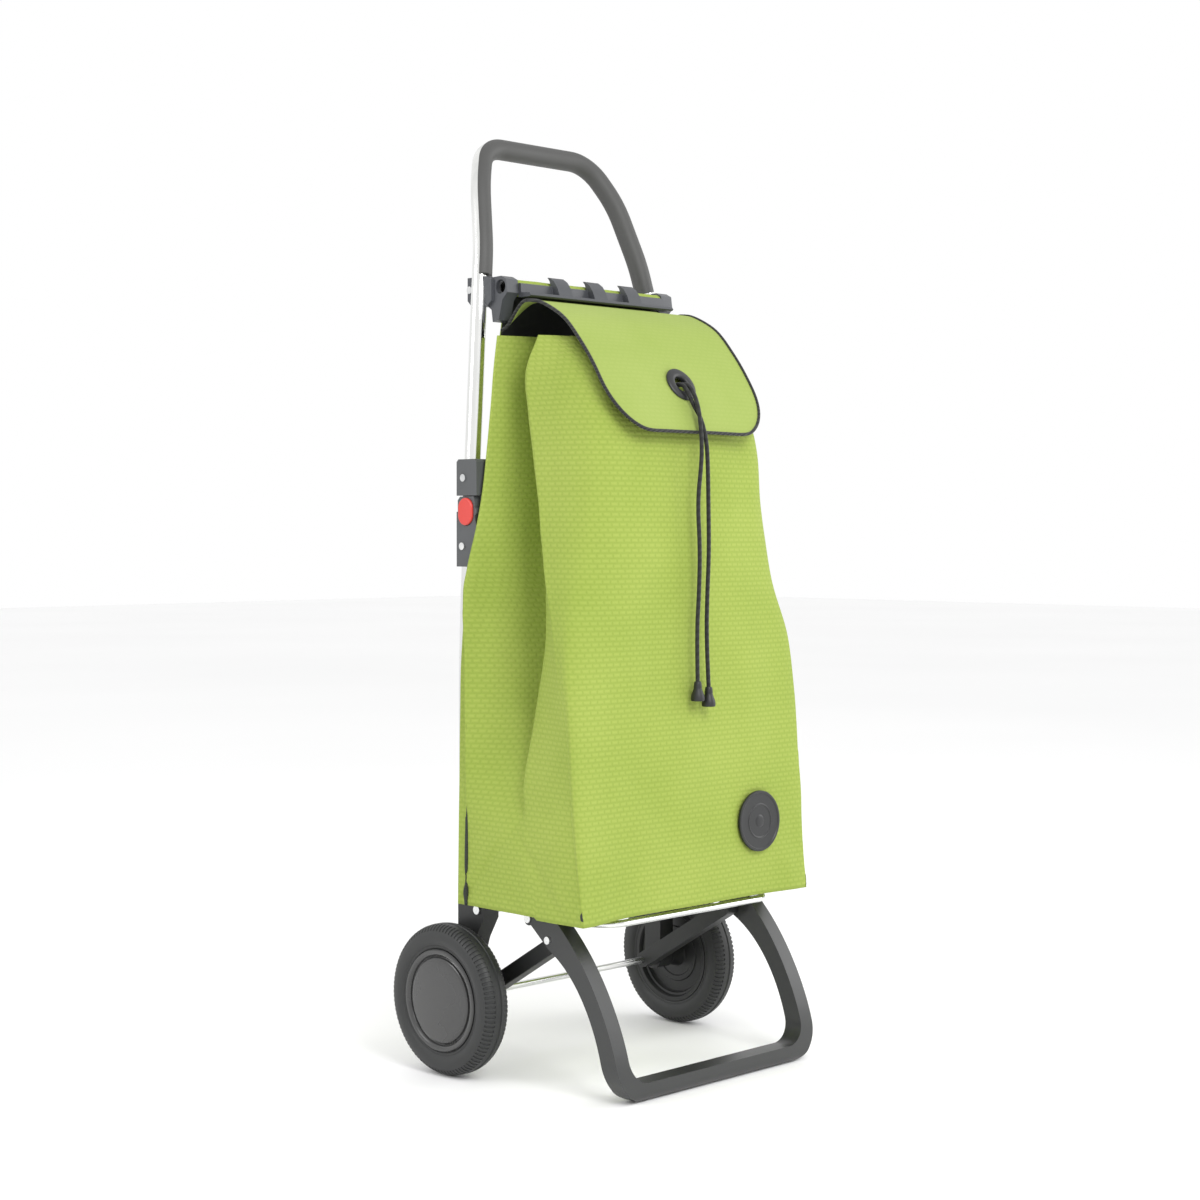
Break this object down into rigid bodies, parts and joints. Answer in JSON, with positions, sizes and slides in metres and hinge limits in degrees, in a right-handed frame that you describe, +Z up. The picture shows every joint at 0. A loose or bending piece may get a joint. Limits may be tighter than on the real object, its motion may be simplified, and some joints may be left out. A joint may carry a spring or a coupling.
{
  "type": "folding shopping trolley",
  "caption": "Folding shopping trolley: chromed tube frame with fold joints, soft bag under a flap, drawcord, hook rail, and a shelf and front leg that fold together.",
  "frame": {"origin": "on the floor, at the centre of the footprint box", "axes": "+Z up and the longest side, +X to the right seen from the front leg looking at the wheels, +Y from the front leg towards the wheels"},
  "size_m": [0.4152, 0.3286, 1.0714],
  "materials": {
    "black_binding": "woven tape",
    "black_cord": "braided cord",
    "black_plastic": "fine textured",
    "bright_steel": "zinc plated",
    "chromed_tube": "polished chrome plate",
    "green_cloth": "ribbed microfibre weave",
    "grey_board": "smooth sheet",
    "grey_plastic": "fine textured",
    "red_plastic": "semi gloss",
    "tyre_rubber": "matt moulded rubber",
    "wheel_plastic": "dark grey moulded plastic"
  },
  "bodies": {
    "lower_frame": {"axle": "bright_steel", "axle_clip_left": "bright_steel", "axle_clip_right": "bright_steel", "axle_washer_left": "bright_steel", "axle_washer_right": "bright_steel", "badge": "black_plastic", "bag_back": "green_cloth", "bag_front": "green_cloth", "bag_gusset_left": "green_cloth", "bag_gusset_right": "green_cloth", "button_spring_left": "bright_steel", "button_spring_right": "bright_steel", "fold_pin_left": "bright_steel", "fold_pin_right": "bright_steel", "hinge_lower_left": "black_plastic", "hinge_lower_right": "black_plastic", "hinge_rivets_lower": "bright_steel", "lower_upright_left": "chromed_tube", "lower_upright_right": "chromed_tube", "rear_brace": "chromed_tube", "rear_bracket_left": "black_plastic", "rear_bracket_right": "black_plastic"},
    "wheel_left": {"hub_cap_left": "wheel_plastic", "tyre_left": "tyre_rubber", "wheel_core_left": "wheel_plastic"},
    "wheel_right": {"hub_cap_right": "wheel_plastic", "tyre_right": "tyre_rubber", "wheel_core_right": "wheel_plastic"},
    "upper_frame": {"bag_yoke": "green_cloth", "bracket_rivets": "bright_steel", "crossbar": "chromed_tube", "crossbar_bracket_left": "grey_plastic", "crossbar_bracket_right": "grey_plastic", "crossbar_sleeve": "green_cloth", "flap_root": "green_cloth", "handle_grip": "grey_plastic", "hinge_rivets_upper": "bright_steel", "hinge_upper_left": "black_plastic", "hinge_upper_right": "black_plastic", "hook_rail": "grey_plastic", "upper_tube": "chromed_tube"},
    "shelf": {"bag_base": "green_cloth", "base_board": "grey_board", "board_saddles": "grey_plastic", "shelf_loop": "chromed_tube", "shelf_pins": "bright_steel"},
    "leg": {"front_leg": "black_plastic", "leg_rivets": "bright_steel"},
    "struts": {"strut_left": "black_plastic", "strut_right": "black_plastic"},
    "flap": {"cord_end_left": "black_plastic", "cord_end_right": "black_plastic", "cord_tail_left": "black_cord", "cord_tail_right": "black_cord", "eyelet": "black_plastic", "flap": "green_cloth", "flap_piping": "black_binding"},
    "button_left": {"release_button_left": "red_plastic"},
    "button_right": {"release_button_right": "red_plastic"}
  },
  "joints": [
    {"name": "frame_fold", "type": "hinge", "parent": "lower_frame", "child": "upper_frame", "pos_m": [0, 0.058, 0.634], "axis": [1, 0, 0], "range_deg": [0, 140], "deforming": ["bag_front", "bag_back", "bag_gusset_left", "bag_gusset_right"]},
    {"name": "shelf_fold", "type": "hinge", "parent": "lower_frame", "child": "shelf", "pos_m": [0, 0.054, 0.1855], "axis": [-1, 0, 0], "range_deg": [0, 70], "deforming": ["bag_front", "bag_back", "bag_gusset_left", "bag_gusset_right"]},
    {"name": "leg_fold", "type": "hinge", "parent": "shelf", "child": "leg", "pos_m": [0, -0.026, 0.1855], "axis": [1, 0, 0], "range_deg": [0, 104.3]},
    {"name": "strut_fold", "type": "hinge", "parent": "lower_frame", "child": "struts", "pos_m": [0, 0.075, 0.0853], "axis": [-1, 0, 0], "range_deg": [0, 35]},
    {"name": "flap_open", "type": "hinge", "parent": "upper_frame", "child": "flap", "pos_m": [0, 0.014, 0.87], "axis": [-1, 0, 0], "range_deg": [0, 88]},
    {"name": "button_left_press", "type": "slide", "parent": "lower_frame", "child": "button_left", "axis": [1, 0, 0], "range_m": [0, 0.003], "stiffness_N_per_m": 900, "springref_m": -0.001, "deforming": ["button_spring_left"]},
    {"name": "button_right_press", "type": "slide", "parent": "lower_frame", "child": "button_right", "axis": [-1, 0, 0], "range_m": [0, 0.003], "stiffness_N_per_m": 900, "springref_m": -0.001, "deforming": ["button_spring_right"]},
    {"name": "wheel_left_spin", "type": "hinge", "parent": "lower_frame", "child": "wheel_left", "pos_m": [-0.1896, 0.075, 0.0853], "axis": [1, 0, 0], "continuous": true},
    {"name": "wheel_right_spin", "type": "hinge", "parent": "lower_frame", "child": "wheel_right", "pos_m": [0.1896, 0.075, 0.0853], "axis": [1, 0, 0], "continuous": true}
  ],
  "couplings": [
    {"joint": "leg_fold", "follows": "shelf_fold", "ratio": 1.49},
    {"joint": "strut_fold", "follows": "shelf_fold", "ratio": 0.5}
  ]
}
